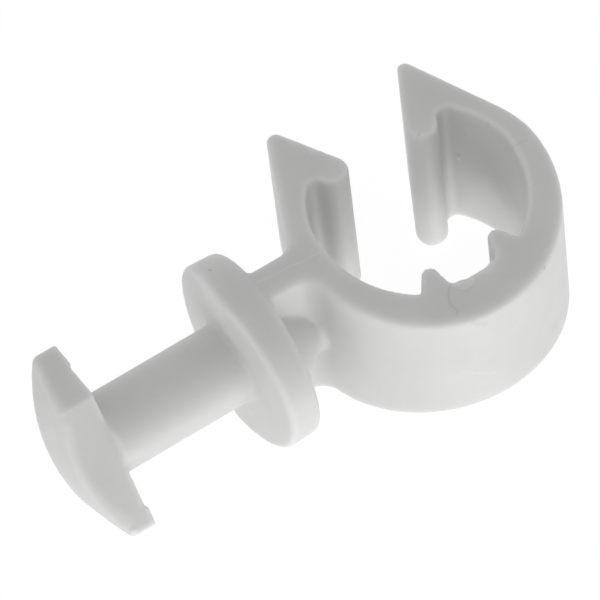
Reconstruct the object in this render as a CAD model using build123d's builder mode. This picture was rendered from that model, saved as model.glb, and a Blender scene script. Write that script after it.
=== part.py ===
# Threaded rod clip: one moulded piece with a snap-in ring, a collar and a twist-in head.
# X runs from the head to the ring, Y points out of the ring's mouth and Z lies along the rod.
# The clip is drawn around the centre of the ring's bore, and ends up with the rod's axis at the origin.
# Lengths are in mm and angles in degrees.

import os
from math import atan2, cos, degrees, radians, sin, sqrt, tan

from build123d import *

os.makedirs("parts", exist_ok=True)

# The rod, and the two bulbs and two ribs that hold it
rod_diameter = 10.0
rod_offset = 0.45
rod_clearance = 0.08
throat_width = 4.55
bulb_radius = 1.1
groove_radius = 0.7
rib_gap = 4.0
rib_tip_radius = 0.58
rib_root_angle = 9.0
rib_flank_angle = 35.0
saddle_rise = 0.42

# The ring and its jaws
bore_gap = 2.25
ring_wall = 1.85
ring_offset = 0.7
ring_width = 13.1
ring_taper = 9.2
jaw_taper = 2.3
seam_blend = 6.0
jaw_skew = 0.22
jaw_angle = 23.0
lead_in_angle = 27.7
jaw_tip_radius = 0.57
jaw_tip_cut = 0.08
ring_edge_fillet = 0.5
bore_edge_chamfer = 0.12

# The neck between the ring and the collar
neck_length = 3.22
web_thickness = 2.55
web_fillet = 1.6
core_diameter = 4.8

# The collar and the stem
collar_diameter = 13.4
collar_thickness = 2.88
collar_draft = 4.5
collar_rim_draft = 3.0
collar_edge_chamfer = 0.25
stem_diameter = 5.7
stem_fillet = 0.35
grip_length = 9.8

# The twist-in head
head_width = 4.9
head_length = 9.35
head_side_angle = 54.5
head_end_angle = 7.0
head_thickness = 3.3
head_corner_radius = 0.4
crown_radius = 12.5
crown_edge_fillet = 0.35
lip_circle = 10.5
lip_height = 0.2
lip_ramp = 45.0

# Radii and places that follow from the driving dimensions
rod_radius = rod_diameter / 2
bore_radius = rod_radius + bore_gap
ring_radius = bore_radius + ring_wall
ring_centre = (0, -ring_offset)
mid_wall = (bore_radius + ring_radius) / 2
half_width = ring_width / 2
collar_radius = collar_diameter / 2
collar_back = -ring_radius - neck_length
collar_front = collar_back - collar_thickness
front_radius = collar_radius + collar_thickness * tan(radians(collar_rim_draft))
head_seat = collar_front - grip_length
head_top = head_seat - head_thickness

# The bulb at the end of each jaw lies round the rod's circle and leaves the throat free
bulb_x = throat_width / 2 + bulb_radius
bulb_y = sqrt((rod_radius + rod_clearance + bulb_radius) ** 2 - bulb_x**2) - rod_offset

# Each rib's round tip meets the rod's circle, and the wall between the ribs is a little thicker
rib_x = rib_gap / 2 + rib_tip_radius
rib_y = -sqrt((rod_radius + rib_tip_radius) ** 2 - rib_x**2) - rod_offset
saddle_radius = bore_radius - saddle_rise

# The ring's end faces lean towards each other on both sides of the mould's seam
closed_side = -ring_offset - ring_radius
closed_half_width = half_width + closed_side * tan(radians(ring_taper))
past_jaws = 2 * ring_radius
past_half_width = half_width - past_jaws * tan(radians(jaw_taper))
with BuildPart() as end_faces:
    with BuildSketch(Plane.YZ) as side_view:
        with BuildLine():
            Polyline(
                (past_jaws, past_half_width),
                (0, half_width),
                (closed_side, closed_half_width),
                (closed_side, -closed_half_width),
                (0, -half_width),
                (past_jaws, -past_half_width),
                close=True,
            )
        make_face()
        fillet(side_view.vertices().sort_by_distance((0, 0))[:2], seam_blend)
    extrude(amount=ring_radius - collar_back, both=True)

# Ribs across the closed side of the bore: half of their outline is drawn and mirrored
with BuildPart() as ribs:
    with BuildSketch():
        with BuildLine():
            rib_turn = rib_flank_angle + rib_root_angle - 180
            rib_tip = CenterArc((rib_x, rib_y), rib_tip_radius, 180 - rib_root_angle, rib_turn)
            wall_line = CenterArc((0, 0), mid_wall, -90, 90, mode=Mode.PRIVATE)
            saddle_line = CenterArc((0, 0), saddle_radius, -90, 90, mode=Mode.PRIVATE)
            flank = IntersectingLine(rib_tip @ 1, rib_tip % 1, other=wall_line)
            root = IntersectingLine(rib_tip @ 0, -(rib_tip % 0), other=saddle_line)
            RadiusArc((0, -saddle_radius), root @ 1, -saddle_radius)
            Polyline(flank @ 1, (0, -mid_wall), (0, -saddle_radius))
        make_face()
        mirror(about=Plane.YZ)
    extrude(amount=half_width, both=True)
    add(end_faces.part, mode=Mode.INTERSECT)


# Centre of a jaw's round tip: the tip is tangent to the outer face, and the lead-in face cuts a little off it
def tip_centre(bulb_rise):
    outer = radians(jaw_angle)
    inner = radians(lead_in_angle)
    outer_reach = ring_radius - ring_offset * sin(outer) - jaw_tip_radius
    bulb_reach = bulb_radius - bulb_x * cos(inner) + (bulb_y + bulb_rise) * sin(inner)
    inner_reach = bulb_reach + jaw_tip_cut - jaw_tip_radius
    tip_x = (outer_reach * sin(inner) - inner_reach * sin(outer)) / sin(outer + inner)
    tip_y = (outer_reach * cos(inner) + inner_reach * cos(outer)) / sin(outer + inner)
    return Vector(tip_x, tip_y)


# Half of the ring's opening: the bore, a groove tangent to it and to the jaw's bulb, and the lead-in face
def opening_half(bulb_rise):
    bulb_centre = Vector(bulb_x, bulb_y + bulb_rise)
    groove_orbit = bore_radius - groove_radius
    groove_reach = bulb_radius + groove_radius
    bulb_orbit = bulb_centre.length
    along = (groove_orbit**2 - groove_reach**2 + bulb_orbit**2) / (2 * bulb_orbit)
    across = sqrt(groove_orbit**2 - along**2)
    to_bulb = bulb_centre.normalized()
    groove_centre = to_bulb * along + Vector(to_bulb.Y, -to_bulb.X) * across
    bulb_to_groove = groove_centre - bulb_centre
    groove_angle = degrees(atan2(groove_centre.Y, groove_centre.X))
    bulb_end_angle = degrees(atan2(bulb_to_groove.Y, bulb_to_groove.X))
    with BuildSketch() as half:
        with BuildLine():
            bulb_turn = -bulb_end_angle - lead_in_angle - 180
            groove_turn = bulb_end_angle + 180 - groove_angle
            bore = CenterArc((0, 0), bore_radius, -90, 90 + groove_angle)
            CenterArc(groove_centre, groove_radius, groove_angle, groove_turn)
            bulb = CenterArc(bulb_centre, bulb_radius, bulb_end_angle, bulb_turn)
            lead_in = PolarLine(bulb @ 1, ring_radius, 90 - lead_in_angle)
            Polyline(lead_in @ 1, (0, past_jaws), bore @ 0)
        make_face()
    return half.sketch


# Ring with its jaws and neck web: the jaw beside the collar stands a little higher than the far one
far_tip_centre = tip_centre(-jaw_skew)
near_tip = tip_centre(jaw_skew)
near_tip_centre = (-near_tip.X, near_tip.Y)
far_opening = opening_half(-jaw_skew)
near_opening = opening_half(jaw_skew)
with BuildPart() as ring:
    with BuildSketch() as plan:
        with BuildLine():
            outside = CenterArc(ring_centre, ring_radius, 180 - jaw_angle, 180 + 2 * jaw_angle)
            far_round = CenterArc(far_tip_centre, jaw_tip_radius, jaw_angle, 90 - jaw_angle)
            near_round = CenterArc(near_tip_centre, jaw_tip_radius, 90, 90 - jaw_angle)
            Line(outside @ 1, far_round @ 0)
            Spline(far_round @ 1, near_round @ 0, tangents=(far_round % 1, near_round % 0))
            Line(near_round @ 1, outside @ 0)
        make_face()
        with Locations(((collar_back - mid_wall) / 2, 0)):
            Rectangle(-mid_wall - collar_back, web_thickness)
        fillet(plan.vertices().sort_by_distance((-ring_radius, 0))[:2], web_fillet)
    extrude(amount=half_width, both=True)
    add(end_faces.part, mode=Mode.INTERSECT)
    web_sides = ring.faces().filter_by(Plane.XZ)
    fillet(web_sides.edges().filter_by(Axis.X), ring_edge_fillet)
    with BuildSketch():
        add(far_opening)
        mirror(near_opening, about=Plane.YZ)
    extrude(amount=half_width, both=True, mode=Mode.SUBTRACT)
    bulb_face = ring.faces().filter_by(GeomType.CYLINDER).sort_by_distance((bulb_x, bulb_y, 0))[0]
    chamfer(bulb_face.edges().filter_by(Axis.Z, reverse=True), bore_edge_chamfer)
    add(ribs.part)

# Collar with a front face that falls away on both sides of the mould's seam
with BuildPart() as collar:
    with BuildSketch():
        with BuildLine():
            Polyline(
                (collar_back, 0),
                (collar_back, collar_radius - collar_edge_chamfer),
                (collar_back - collar_edge_chamfer, collar_radius),
                (collar_front, front_radius),
                (collar_front, 0),
                close=True,
            )
        make_face()
    revolve(axis=Axis.X)
    past_rim = collar_diameter
    past_front = collar_front + past_rim * tan(radians(collar_draft))
    with BuildSketch():
        with BuildLine():
            Polyline(
                (collar_back, past_rim),
                (past_front, past_rim),
                (collar_front, 0),
                (past_front, -past_rim),
                (collar_back, -past_rim),
                close=True,
            )
        make_face()
    extrude(amount=past_rim, both=True, mode=Mode.INTERSECT)
    front_faces = collar.faces().filter_by(GeomType.PLANE).sort_by(Axis.X)[:2]
    chamfer(front_faces.edges().filter_by(GeomType.LINE, reverse=True), collar_edge_chamfer)

# Head: a slanted bar with a crown that is domed along it, and a raised lip under each end
with BuildPart() as head:
    with BuildSketch(Plane.YZ.offset(head_seat + lip_height)) as bar:
        Rectangle(2 * head_length, head_width, rotation=head_side_angle)
        Rectangle(2 * head_length, head_length, rotation=-head_end_angle, mode=Mode.INTERSECT)
        fillet(bar.vertices().sort_by_distance((0, 0))[-2:], head_corner_radius)
    extrude(amount=-head_thickness - lip_height)
    with Locations(Location((head_top + crown_radius, 0, 0), (head_side_angle, 0, 0))):
        Cylinder(crown_radius, 2 * head_length, mode=Mode.INTERSECT)
    fillet(head.faces().sort_by(Axis.X)[0].edges(), crown_edge_fillet)
    with BuildSketch(Plane.YZ.offset(head_seat)):
        Circle(lip_circle / 2)
    extrude(amount=lip_height, taper=-lip_ramp, mode=Mode.SUBTRACT)

# The whole clip: a round core joins the collar to the ring, and the stem joins the head to the collar
with BuildPart() as clip:
    add(ring.part)
    with BuildSketch(Plane.YZ.offset(-mid_wall)):
        Circle(core_diameter / 2)
    extrude(amount=collar_back + mid_wall)
    add(collar.part)
    with BuildSketch(Plane.YZ.offset(collar_back)):
        Circle(stem_diameter / 2)
    extrude(amount=head_seat - collar_back)
    fillet(clip.edges(Select.NEW).filter_by_position(Axis.X, collar_front, collar_back), stem_fillet)
    add(head.part)

# The finished clip, with the rod's axis at the origin
with BuildPart() as rod_clip:
    with Locations((0, rod_offset, 0)):
        add(clip.part)

rod_clip.part.label = "rod_clip"
export_step(rod_clip.part, "parts/rod_clip.step")
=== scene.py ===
from math import cos, pi, radians, sin

import bmesh
import bpy
from mathutils import Matrix, Quaternion, Vector


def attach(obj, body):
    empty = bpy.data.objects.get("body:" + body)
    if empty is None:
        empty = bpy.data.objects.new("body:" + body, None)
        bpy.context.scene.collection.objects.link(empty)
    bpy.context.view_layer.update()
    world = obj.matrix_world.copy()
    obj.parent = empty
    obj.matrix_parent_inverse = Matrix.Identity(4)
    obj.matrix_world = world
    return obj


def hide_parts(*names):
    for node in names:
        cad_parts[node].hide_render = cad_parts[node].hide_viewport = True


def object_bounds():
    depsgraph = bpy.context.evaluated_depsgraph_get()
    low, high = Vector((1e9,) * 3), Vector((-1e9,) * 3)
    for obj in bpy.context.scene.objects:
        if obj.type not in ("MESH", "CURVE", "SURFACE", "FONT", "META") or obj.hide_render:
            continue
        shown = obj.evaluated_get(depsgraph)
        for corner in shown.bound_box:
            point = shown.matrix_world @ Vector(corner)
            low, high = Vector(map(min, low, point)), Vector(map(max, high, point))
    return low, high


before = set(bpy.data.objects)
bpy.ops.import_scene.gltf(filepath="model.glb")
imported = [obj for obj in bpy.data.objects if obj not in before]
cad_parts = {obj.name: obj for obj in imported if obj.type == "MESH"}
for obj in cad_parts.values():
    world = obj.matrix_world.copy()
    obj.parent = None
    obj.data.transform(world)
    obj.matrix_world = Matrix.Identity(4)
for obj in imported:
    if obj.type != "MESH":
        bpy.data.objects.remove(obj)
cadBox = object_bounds()
scene = bpy.context.scene
mm = 0.001  # Blender's lengths are in metres
plainWhite = (1, 1, 1, 1)
gridStep = (200, -160)  # of the node editor, for columns and rows
print("frame loaded:", ", ".join(sorted(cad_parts)))


def addNode(tree, kind, place, sockets=None, **settings):
    # a node at a column and row, with its own settings and the values of its sockets
    node = tree.nodes.new(kind)
    node.location = (place[0] * gridStep[0], place[1] * gridStep[1])
    for name, value in settings.items():
        setattr(node, name, value)
    for socket, value in (sockets or {}).items():
        node.inputs[socket].default_value = value
    return node


def mapNode(tree, place, fromRange, toRange):
    sockets = dict(zip(("From Min", "From Max", "To Min", "To Max"), (*fromRange, *toRange)))
    return addNode(tree, "ShaderNodeMapRange", place, sockets)


def towards(azimuth, elevation):
    # unit direction from the object; azimuth 0 is the side of -Y, 90 the side of +X
    turn = radians(azimuth)
    tilt = radians(elevation)
    return Vector((sin(turn) * cos(tilt), -cos(turn) * cos(tilt), sin(tilt)))


def wire(tree, source, target):
    tree.links.new(source, target)


def newGroup(name, inputs, outputs):
    # an empty shader group with its sockets; the kinds are Float and Vector
    group = bpy.data.node_groups.new(name, "ShaderNodeTree")
    for side, sockets in (("INPUT", inputs), ("OUTPUT", outputs)):
        for socket, kind in sockets.items():
            group.interface.new_socket(name=socket, in_out=side, socket_type="NodeSocket" + kind)
    given = addNode(group, "NodeGroupInput", (0, 0))
    result = addNode(group, "NodeGroupOutput", (7, 0))
    return group, given.outputs, result.inputs


def edgeOf(group, distance, given, result):
    # 1 inside the inner distance, falling softly to 0 at the outer one
    fade = addNode(group, "ShaderNodeMapRange", (6, 0), interpolation_type="SMOOTHSTEP")
    wire(group, distance, fade.inputs["Value"])
    wire(group, given["Outer"], fade.inputs["From Min"])
    wire(group, given["Inner"], fade.inputs["From Max"])
    wire(group, fade.outputs["Result"], result["Mask"])


def spotGroup():
    # a round spot about its start
    sockets = {"Point": "Vector", "Start": "Vector", "Outer": "Float", "Inner": "Float"}
    group, given, result = newGroup("spotMask", sockets, {"Mask": "Float"})
    away = addNode(group, "ShaderNodeVectorMath", (2, 0), operation="DISTANCE")
    wire(group, given["Point"], away.inputs[0])
    wire(group, given["Start"], away.inputs[1])
    edgeOf(group, away.outputs["Value"], given, result)
    return group


def lineGroup():
    # a straight line from start to end
    sockets = {"Point": "Vector", "Start": "Vector", "End": "Vector", "Outer": "Float", "Inner": "Float"}
    group, given, result = newGroup("lineMask", sockets, {"Mask": "Float"})
    whole = addNode(group, "ShaderNodeVectorMath", (1, 0), operation="SUBTRACT")
    part = addNode(group, "ShaderNodeVectorMath", (1, 1), operation="SUBTRACT")
    along = addNode(group, "ShaderNodeVectorMath", (2, 0), operation="DOT_PRODUCT")
    square = addNode(group, "ShaderNodeVectorMath", (2, 1), operation="DOT_PRODUCT")
    share = addNode(group, "ShaderNodeMath", (3, 0), operation="DIVIDE", use_clamp=True)
    foot = addNode(group, "ShaderNodeVectorMath", (4, 0), operation="SCALE")
    away = addNode(group, "ShaderNodeVectorMath", (5, 0), operation="DISTANCE")
    wire(group, given["End"], whole.inputs[0])
    wire(group, given["Start"], whole.inputs[1])
    wire(group, given["Point"], part.inputs[0])
    wire(group, given["Start"], part.inputs[1])
    wire(group, part.outputs[0], along.inputs[0])
    wire(group, whole.outputs[0], along.inputs[1])
    wire(group, whole.outputs[0], square.inputs[0])
    wire(group, whole.outputs[0], square.inputs[1])
    wire(group, along.outputs["Value"], share.inputs[0])
    wire(group, square.outputs["Value"], share.inputs[1])
    wire(group, whole.outputs[0], foot.inputs[0])
    wire(group, share.outputs[0], foot.inputs["Scale"])
    wire(group, part.outputs[0], away.inputs[0])
    wire(group, foot.outputs[0], away.inputs[1])
    edgeOf(group, away.outputs["Value"], given, result)
    return group


# Grain: what the surfaces of the clip and of the floor share; on the clip the scales are per mm
grainSet = {
    "clouds": {"Scale": 0.28, "Detail": 3.0, "Roughness": 0.55},
    "fine": {"Scale": 4.5, "Detail": 3.0, "Roughness": 0.6},
    "waves": {"Scale": 0.75, "Detail": 2.0, "Roughness": 0.5},
    "pits": {"Scale": 0.9},
    "wobble": {"Scale": 2.6, "Detail": 2.0},
    "noiseRange": (0.3, 0.7),    # the tones and the gloss reach their ends at these noise values
    "noiseMiddle": (0.5, 0.5, 0.5),
    "cloudTone": (-0.022, 0.022),
    "fineTone": (-0.008, 0.008),
    "gloss": (-0.06, 0.06),      # change of roughness
    "waveHeight": 0.03,      # mm
    "fineHeight": 0.0025,    # mm
    "pitReach": 0.05,        # from a cell's centre, in cells
    "pitDepth": 0.01,        # mm
    "wobbleWidth": 0.14,     # mm
}


def grainGroup(settings):
    # cloudy tone, fine grain and small pits of a smooth pale surface
    outputs = {"Tone": "Float", "Gloss": "Float", "Height": "Float", "Wobble": "Vector"}
    group, given, result = newGroup("paleGrain", {"Point": "Vector"}, outputs)
    clouds = addNode(group, "ShaderNodeTexNoise", (1, 0), settings["clouds"])
    fine = addNode(group, "ShaderNodeTexNoise", (1, 1), settings["fine"])
    waves = addNode(group, "ShaderNodeTexNoise", (1, 2), settings["waves"])
    cells = addNode(group, "ShaderNodeTexVoronoi", (1, 3), settings["pits"])
    wobble = addNode(group, "ShaderNodeTexNoise", (1, 4), settings["wobble"])
    for texture in (clouds, fine, waves, cells, wobble):
        wire(group, given["Point"], texture.inputs["Vector"])
    # tone: clouds and a little fine grain, both about zero
    cloudTone = mapNode(group, (3, 0), settings["noiseRange"], settings["cloudTone"])
    fineTone = mapNode(group, (3, 1), settings["noiseRange"], settings["fineTone"])
    tone = addNode(group, "ShaderNodeMath", (4, 0), operation="ADD")
    wire(group, clouds.outputs[0], cloudTone.inputs["Value"])
    wire(group, fine.outputs[0], fineTone.inputs["Value"])
    wire(group, cloudTone.outputs[0], tone.inputs[0])
    wire(group, fineTone.outputs[0], tone.inputs[1])
    wire(group, tone.outputs[0], result["Tone"])
    # gloss: broad areas are a little duller or glossier
    gloss = mapNode(group, (3, 2), settings["noiseRange"], settings["gloss"])
    wire(group, waves.outputs[0], gloss.inputs["Value"])
    wire(group, gloss.outputs[0], result["Gloss"])
    # height in millimetres: sink waves, fine grain and pits
    pit = mapNode(group, (3, 3), (settings["pitReach"], 0), (0, -settings["pitDepth"]))
    low = addNode(group, "ShaderNodeMath", (4, 1), {1: settings["waveHeight"]}, operation="MULTIPLY_ADD")
    high = addNode(group, "ShaderNodeMath", (5, 1), {1: settings["fineHeight"]}, operation="MULTIPLY_ADD")
    wire(group, cells.outputs["Distance"], pit.inputs["Value"])
    wire(group, waves.outputs[0], low.inputs[0])
    wire(group, pit.outputs[0], low.inputs[2])
    wire(group, fine.outputs[0], high.inputs[0])
    wire(group, low.outputs[0], high.inputs[2])
    wire(group, high.outputs[0], result["Height"])
    # wobble: bends the drawn marks and painted light so that none is perfectly round or straight
    middle = {1: settings["noiseMiddle"]}
    centred = addNode(group, "ShaderNodeVectorMath", (3, 4), middle, operation="SUBTRACT")
    width = {"Scale": settings["wobbleWidth"]}
    bend = addNode(group, "ShaderNodeVectorMath", (4, 4), width, operation="SCALE")
    wire(group, wobble.outputs["Color"], centred.inputs[0])
    wire(group, centred.outputs[0], bend.inputs[0])
    wire(group, bend.outputs[0], result["Wobble"])
    return group


def placeGroup(tree, group, place, sockets=None):
    return addNode(tree, "ShaderNodeGroup", place, sockets, node_tree=group)


grain = grainGroup(grainSet)
print("grain ready")

# Clip: the moulded piece itself
clipSet = {
    "node": "rod_clip",
    "slot": "white_plastic",
    "mergeDistance": 1e-4,   # mm
    "coreEnds": (-12.45, -9.4),  # mm along the stem, in the collar and in the ring's wall
    "coreRadii": (4.35, 2.25),   # mm
    "coreHeight": 0.45,      # mm, the stem's axis off the rod's, towards the mouth
    "coreSides": 96,
    # small raised spots, as balls that look out of the surface: place and radius in mm
    "nubs": {
        "blister": ((6.01, 4.85, 0.75), 0.3),
        "collarNub": ((-14.66, -1.54, -3.39), 0.5),
    },
    "nubSides": (32, 16),
    "fineness": 0.175,       # mm, how fine the surface is divided before its edges are softened
    "softening": 4,          # passes, each rounds the moulded edges a little more
    "softShare": 0.5,        # how far a pass moves a point towards its neighbours' middle
    "color": (0.69, 0.69, 0.685),
    "roughness": 0.48,
    "edgeDepth": 0.42,       # mm, how far rays look into the material
    "edgeSamples": 3,
    "edgeRange": (0.95, 0.45),   # share of rays that meet no other face: no edge, full edge
    "paintedEdgeLight": 0.3,        # how much lighter the painted edge highlight makes the thin moulded edges
    "translucency": 0.5,
    "scatterDepth": 1.5,     # mm
    "scatterShares": (1, 1, 1),  # of that depth, for red, green and blue
    # spots and lines, real marks together with painted shade and painted highlights: points in mm, outer
    # and inner half width in mm, change of tone, rise in mm
    "marksAndPaintedLight": {
        "bulbSpeck": (((2.79, 4.32, 6.39),), 0.16, 0.05, -0.2, 0.0),
        "wallTopSpeck": (((6.97, 2.44, 6.19),), 0.15, 0.04, -0.16, 0.0),
        "wallSpeck": (((6.19, 4.22, 3.68),), 0.22, 0.06, -0.1, -0.01),
        "rimSpeck": (((-14.07, 3.59, 6.01),), 0.2, 0.08, -0.2, -0.02),
        "edgeSpeck": (((4.03, -8.39, 4.8),), 0.2, 0.08, -0.2, -0.02),
        # painted highlight on the blister's lower side; the spot after it is painted shade on its upper
        # side
        "blisterHighlight": (((5.85, 4.73, 0.52),), 0.24, 0.08, 0.14, 0.0),
        "blisterShade": (((5.85, 4.73, 1.02),), 0.24, 0.05, -0.1, 0.0),
        "chip": (
            ((-1.65, -6.43, 5.44), (-1.32, -6.86, 5.37), (-0.54, -6.81, 5.37)),
            0.26, 0.18, 0.05, 0.015,
        ),
        "chipBorder": (
            (
                (-1.81, -6.5, 5.42),
                (-1.71, -6.8, 5.38),
                (-1.44, -7.08, 5.33),
                (-1.08, -7.14, 5.32),
                (-0.67, -7.11, 5.33),
                (-0.34, -6.85, 5.37),
            ),
            0.12, 0.03, -0.045, -0.01,
        ),
        "lightPatch": (((0.79, -6.64, 5.4),), 0.5, 0.1, 0.06, 0.01),
        "crack": (
            (
                (-1.95, -6.31, 5.45),
                (-2.18, -6.52, 5.42),
                (-2.44, -6.8, 5.38),
                (-2.67, -7.32, 5.29),
                (-2.61, -7.73, 5.23),
                (-2.54, -8.07, 5.17),
                (-2.78, -8.24, 5.14),
            ),
            0.12, 0.03, -0.09, -0.02,
        ),
        "smear": (((-2.1, -9.1, 4.63), (-1.3, -9.25, 4.0)), 0.35, 0.05, -0.08, 0.0),
        "wallShade": (((4.5, -8.16, -2.67),), 0.9, 0.1, -0.05, 0.0),
        "boreShadeHigh": (((6.9, 2.4, 0.6),), 4.2, 0.1, -0.12, 0.0),
        "boreShadeLow": (((7.19, 1.38, -1.97),), 1.0, 0.1, -0.03, 0.0),
        "jawSpot": (((-3.6, 7.42, 6.27),), 0.35, 0.1, 0.06, 0.01),
        "headSpot": (((-26.43, -4.97, -3.38),), 0.35, 0.15, 0.12, 0.02),
        "headDent": (((-26.41, -4.75, -3.07),), 0.3, 0.1, -0.04, -0.02),
        "bulbScuff": (((-2.96, 4.38, -0.78),), 0.3, 0.1, -0.1, 0.0),
        # painted highlights along the head's far and near ridges, where the rounded edges catch light
        "farRidgeHighlight": (
            ((-26.75, 4.97, 4.08), (-27.1, 2.74, 4.42), (-27.35, 0.83, 4.66)),
            0.55, 0.05, 0.09, 0.0,
        ),
        "nearRidgeHighlight": (
            (
                (-27.48, 0.08, 3.7),
                (-27.82, -1.01, 2.17),
                (-27.98, -2.08, 0.67),
                (-27.42, -3.4, -1.18),
                (-26.48, -4.54, -2.78),
            ),
            0.55, 0.05, 0.07, 0.0,
        ),
        # painted highlight band across the crown
        "crownHighlight": (((-28.22, 2.67, 0.17), (-28.13, 1.08, 2.09)), 1.0, 0.1, 0.04, 0.0),
        "ringSeam": (((7.3, -0.22, 6.44), (9.1, -0.3, 6.2)), 0.12, 0.03, -0.09, -0.02),
        "neckSeam": (((-12.3, 0.61, 6.53), (-7.65, 0.25, 6.5)), 0.16, 0.04, 0.05, 0.02),
        "wallCrease": (((-3.1, -8.8, -0.59), (-0.92, -9.3, -1.93)), 0.25, 0.04, 0.04, 0.02),
    },
}


def plasticMaterial(settings):
    material = bpy.data.materials.new("whiteMouldedPlastic")
    material.use_nodes = True
    tree = material.node_tree
    shader = tree.nodes["Principled BSDF"]
    where = addNode(tree, "ShaderNodeTexCoord", (-12, 0))
    point = addNode(tree, "ShaderNodeVectorMath", (-11, 0), {"Scale": 1 / mm}, operation="SCALE")
    surface = placeGroup(tree, grain, (-10, 0))
    bent = addNode(tree, "ShaderNodeVectorMath", (-9, 1), operation="ADD")
    wire(tree, where.outputs["Object"], point.inputs[0])
    wire(tree, point.outputs[0], surface.inputs["Point"])
    wire(tree, point.outputs[0], bent.inputs[0])
    wire(tree, surface.outputs["Wobble"], bent.inputs[1])
    # painted highlight on the thin edges, standing in for light through and off them: the less material
    # lies behind the surface, the lighter its colour is
    reach = {"Distance": settings["edgeDepth"] * mm}
    thin = addNode(tree, "ShaderNodeAmbientOcclusion", (-10, 3), reach, inside=True, only_local=True)
    thin.samples = settings["edgeSamples"]
    edge = mapNode(tree, (-9, 3), settings["edgeRange"], (0, settings["paintedEdgeLight"]))
    edged = addNode(tree, "ShaderNodeMath", (-8, 0), operation="ADD")
    wire(tree, thin.outputs["AO"], edge.inputs["Value"])
    wire(tree, edge.outputs["Result"], edged.inputs[0])
    wire(tree, surface.outputs["Tone"], edged.inputs[1])
    tone = edged.outputs[0]
    height = surface.outputs["Height"]
    spot = spotGroup()
    line = lineGroup()
    row = 2
    for name, (points, outer, inner, change, rise) in settings["marksAndPaintedLight"].items():
        mask = None
        # one line from each point to the next, or one spot
        for ends in list(zip(points, points[1:])) or [points]:
            sockets = {"Outer": outer, "Inner": inner, **dict(zip(("Start", "End"), ends))}
            markLightNode = placeGroup(tree, line if len(points) > 1 else spot, (-8, row), sockets)
            markLightNode.label = name
            wire(tree, bent.outputs[0], markLightNode.inputs["Point"])
            row += 2
            if mask:
                both = addNode(tree, "ShaderNodeMath", (-7, row), operation="MAXIMUM")
                wire(tree, mask, both.inputs[0])
                wire(tree, markLightNode.outputs["Mask"], both.inputs[1])
                mask = both.outputs[0]
            else:
                mask = markLightNode.outputs["Mask"]
        tint = addNode(tree, "ShaderNodeMath", (-5, row), {1: change}, operation="MULTIPLY_ADD")
        wire(tree, mask, tint.inputs[0])
        wire(tree, tone, tint.inputs[2])
        tone = tint.outputs[0]
        if rise:
            lift = addNode(tree, "ShaderNodeMath", (-4, row), {1: rise}, operation="MULTIPLY_ADD")
            wire(tree, mask, lift.inputs[0])
            wire(tree, height, lift.inputs[2])
            height = lift.outputs[0]
    whole = addNode(tree, "ShaderNodeMath", (-3, 0), {1: 1.0}, operation="ADD")
    color = addNode(tree, "ShaderNodeVectorMath", (-2, 0), {0: settings["color"]}, operation="SCALE")
    rough = addNode(tree, "ShaderNodeMath", (-2, 1), {1: settings["roughness"]}, operation="ADD")
    bump = addNode(tree, "ShaderNodeBump", (-2, 2), {"Strength": 1.0, "Distance": mm})
    wire(tree, tone, whole.inputs[0])
    wire(tree, whole.outputs[0], color.inputs["Scale"])
    wire(tree, color.outputs[0], shader.inputs["Base Color"])
    wire(tree, surface.outputs["Gloss"], rough.inputs[0])
    wire(tree, rough.outputs[0], shader.inputs["Roughness"])
    wire(tree, height, bump.inputs["Height"])
    wire(tree, bump.outputs[0], shader.inputs["Normal"])
    shader.inputs["Subsurface Weight"].default_value = settings["translucency"]
    shader.inputs["Subsurface Radius"].default_value = settings["scatterShares"]
    shader.inputs["Subsurface Scale"].default_value = settings["scatterDepth"] * mm
    return material


def makeClip(settings):
    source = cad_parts[settings["node"]]
    mesh = bpy.data.meshes.new("clipBody")
    shape = bmesh.new()
    shape.from_mesh(source.data)
    bmesh.ops.remove_doubles(shape, verts=shape.verts, dist=settings["mergeDistance"] * mm)
    # the core between collar and ring widens towards the collar
    near, far = settings["coreEnds"]
    middle = Matrix.Translation(Vector(((near + far) / 2, settings["coreHeight"], 0)) * mm)
    bmesh.ops.create_cone(
        shape,
        cap_ends=True,
        segments=settings["coreSides"],
        radius1=settings["coreRadii"][0] * mm,
        radius2=settings["coreRadii"][1] * mm,
        depth=(far - near) * mm,
        matrix=middle @ Matrix.Rotation(radians(90), 4, "Y"),
    )
    around, along = settings["nubSides"]
    for place, radius in settings["nubs"].values():
        bmesh.ops.create_uvsphere(
            shape,
            u_segments=around,
            v_segments=along,
            radius=radius * mm,
            matrix=Matrix.Translation(Vector(place) * mm),
        )
    shape.to_mesh(mesh)
    shape.free()
    clip = bpy.data.objects.new("clipBody", mesh)
    scene.collection.objects.link(clip)
    # one skin over all of these, with the soft edges of a moulding
    skin = clip.modifiers.new("skin", "REMESH")
    skin.mode = "VOXEL"
    skin.voxel_size = settings["fineness"] * mm
    skin.use_smooth_shade = True
    soft = clip.modifiers.new("softEdges", "SMOOTH")
    soft.factor = settings["softShare"]
    soft.iterations = settings["softening"]
    mesh.materials.append(plasticMaterial(settings))
    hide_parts(settings["node"])
    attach(clip, "root")
    print("clip:", len(mesh.polygons), "faces before its skin,", len(settings["marksAndPaintedLight"]), "spots and lines")


makeClip(clipSet)

# Floor: a pale sheet that the clip lies on and that glows like a light table
floorSet = {
    "size": 4.0,             # metres
    "glow": 0.9,             # what the sheet sends to the camera by itself
    "fill": 0.66,            # what it sends to the clip
    "color": (0.18, 0.18, 0.18),
    "roughness": 1.0,
    "specular": 0.0,
    "grainScale": 0.1,       # of the clip's, so its grain is ten times as wide
}


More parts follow.
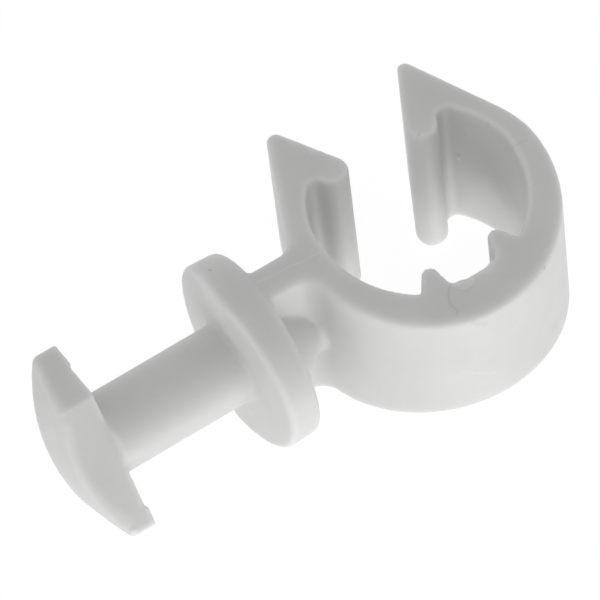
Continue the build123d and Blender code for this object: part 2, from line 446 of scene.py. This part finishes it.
def makeFloor(settings):
    shape = bmesh.new()
    bmesh.ops.create_grid(shape, x_segments=1, y_segments=1, size=settings["size"] / 2)
    bmesh.ops.translate(shape, verts=shape.verts, vec=(0, 0, cadBox[0][2]))
    mesh = bpy.data.meshes.new("floor")
    shape.to_mesh(mesh)
    shape.free()
    floor = bpy.data.objects.new("floor", mesh)
    scene.collection.objects.link(floor)
    # the lamps shine through it
    floor.visible_shadow = False
    material = bpy.data.materials.new("paleFloor")
    material.use_nodes = True
    tree = material.node_tree
    shader = tree.nodes["Principled BSDF"]
    # the same cloudy tone as on the clip, spread wider
    where = addNode(tree, "ShaderNodeTexCoord", (-6, 0))
    scale = {"Scale": settings["grainScale"] / mm}
    point = addNode(tree, "ShaderNodeVectorMath", (-5, 0), scale, operation="SCALE")
    surface = placeGroup(tree, grain, (-4, 0))
    whole = addNode(tree, "ShaderNodeMath", (-3, 0), {1: 1.0}, operation="ADD")
    color = addNode(tree, "ShaderNodeVectorMath", (-2, 0), {0: settings["color"]}, operation="SCALE")
    wire(tree, where.outputs["Object"], point.inputs[0])
    wire(tree, point.outputs[0], surface.inputs["Point"])
    wire(tree, surface.outputs["Tone"], whole.inputs[0])
    wire(tree, whole.outputs[0], color.inputs["Scale"])
    wire(tree, color.outputs[0], shader.inputs["Base Color"])
    shader.inputs["Roughness"].default_value = settings["roughness"]
    shader.inputs["Specular IOR Level"].default_value = settings["specular"]
    shader.inputs["Emission Color"].default_value = plainWhite
    # the camera sees a white sheet; the clip gets somewhat less light from it
    path = addNode(tree, "ShaderNodeLightPath", (-3, 3))
    glow = mapNode(tree, (-2, 3), (0, 1), (settings["glow"], settings["fill"]))
    wire(tree, path.outputs["Is Diffuse Ray"], glow.inputs["Value"])
    wire(tree, glow.outputs["Result"], shader.inputs["Emission Strength"])
    mesh.materials.append(material)
    print("floor at", round(cadBox[0][2] / mm, 2), "mm")


makeFloor(floorSet)

# Light: an even studio, and two soft lamps below the floor, in front and at the head's side
lightSet = {
    "even": 0.565,
    "white": 1.0,            # what the camera sees behind everything
    # degrees and metres; the level is what a white surface that faces the lamp would show
    "lamps": {
        "frontLamp": {"azimuth": 0, "elevation": -36, "distance": 0.5, "size": 0.45, "level": 0.38},
        "sideLamp": {"azimuth": -60, "elevation": -14, "distance": 0.5, "size": 0.45, "level": 0.15},
    },
}


def makeLight(settings):
    world = bpy.data.worlds.new("studio")
    scene.world = world
    world.use_nodes = True
    tree = world.node_tree
    tree.nodes.clear()
    path = addNode(tree, "ShaderNodeLightPath", (0, 0))
    seen = addNode(tree, "ShaderNodeMath", (1, 0), operation="MAXIMUM")
    shown = addNode(tree, "ShaderNodeMath", (2, 0), operation="MAXIMUM")
    wire(tree, path.outputs["Is Camera Ray"], seen.inputs[0])
    wire(tree, path.outputs["Is Glossy Ray"], seen.inputs[1])
    wire(tree, seen.outputs[0], shown.inputs[0])
    wire(tree, path.outputs["Is Transmission Ray"], shown.inputs[1])
    evenSockets = {"Color": plainWhite, "Strength": settings["even"]}
    whiteSockets = {"Color": plainWhite, "Strength": settings["white"]}
    even = addNode(tree, "ShaderNodeBackground", (2, 1), evenSockets)
    white = addNode(tree, "ShaderNodeBackground", (2, 2), whiteSockets)
    mix = addNode(tree, "ShaderNodeMixShader", (3, 0))
    out = addNode(tree, "ShaderNodeOutputWorld", (4, 0))
    wire(tree, shown.outputs[0], mix.inputs[0])
    wire(tree, even.outputs[0], mix.inputs[1])
    wire(tree, white.outputs[0], mix.inputs[2])
    wire(tree, mix.outputs[0], out.inputs["Surface"])
    for name, lamp in settings["lamps"].items():
        data = bpy.data.lights.new(name, "AREA")
        data.shape = "DISK"
        data.size = lamp["size"]
        # the power that gives about the level asked for
        data.energy = lamp["level"] * (pi * lamp["distance"]) ** 2
        lampObject = bpy.data.objects.new(name, data)
        scene.collection.objects.link(lampObject)
        direction = towards(lamp["azimuth"], lamp["elevation"])
        lampObject.location = direction * lamp["distance"]
        lampObject.rotation_euler = direction.to_track_quat("Z", "Y").to_euler()
    print("light: world and", len(settings["lamps"]), "lamps")


makeLight(lightSet)

# Camera: the photograph's angle
cameraSet = {
    "aim": (-8.76, 1.83, 0.0),   # mm
    "azimuth": -26.81,           # degrees
    "elevation": 55.68,
    "roll": -7.68,
    "distance": 442.8,           # mm
    "lens": 404.2,               # mm
    "sensor": 36.0,              # mm
}


def makeCamera(settings):
    data = bpy.data.cameras.new("camera")
    data.lens = settings["lens"]
    data.sensor_width = settings["sensor"]
    camera = bpy.data.objects.new("camera", data)
    scene.collection.objects.link(camera)
    direction = towards(settings["azimuth"], settings["elevation"])
    camera.location = (Vector(settings["aim"]) + direction * settings["distance"]) * mm
    level = direction.to_track_quat("Z", "Y")
    camera.rotation_euler = (level @ Quaternion((0, 0, 1), radians(settings["roll"]))).to_euler()
    scene.camera = camera
    print("camera set")


makeCamera(cameraSet)
scene.view_settings.view_transform = "Standard"
